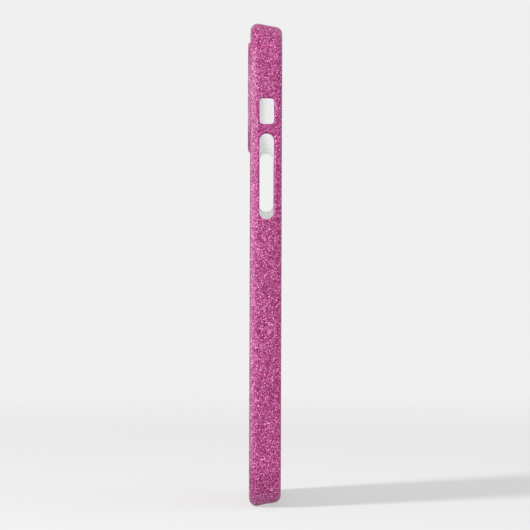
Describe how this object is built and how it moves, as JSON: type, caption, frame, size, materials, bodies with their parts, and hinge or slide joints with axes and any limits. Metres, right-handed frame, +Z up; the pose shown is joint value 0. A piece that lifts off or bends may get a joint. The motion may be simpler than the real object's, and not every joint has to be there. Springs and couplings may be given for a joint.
{
  "type": "phone case",
  "caption": "Slim hard case for a flat-sided phone, with a thin lip, a raised camera surround, plain openings for buttons and port, and a glitter outside.",
  "frame": {"origin": "middle of the bounding box's bottom face; the case stands on its bottom edge", "axes": "+Z up along the length, -Y out of the open screen side, +Y out of the back with the camera surround, +X to the right when looking at the open side"},
  "size_m": [0.0756, 0.0108, 0.1509],
  "materials": {
    "white_shell": "white moulded polycarbonate, satin",
    "pink_glitter": "printed fine glitter in magenta pink, satin"
  },
  "bodies": {
    "root": {"shell": "white_shell", "glitter_film": "pink_glitter"}
  },
  "joints": []
}
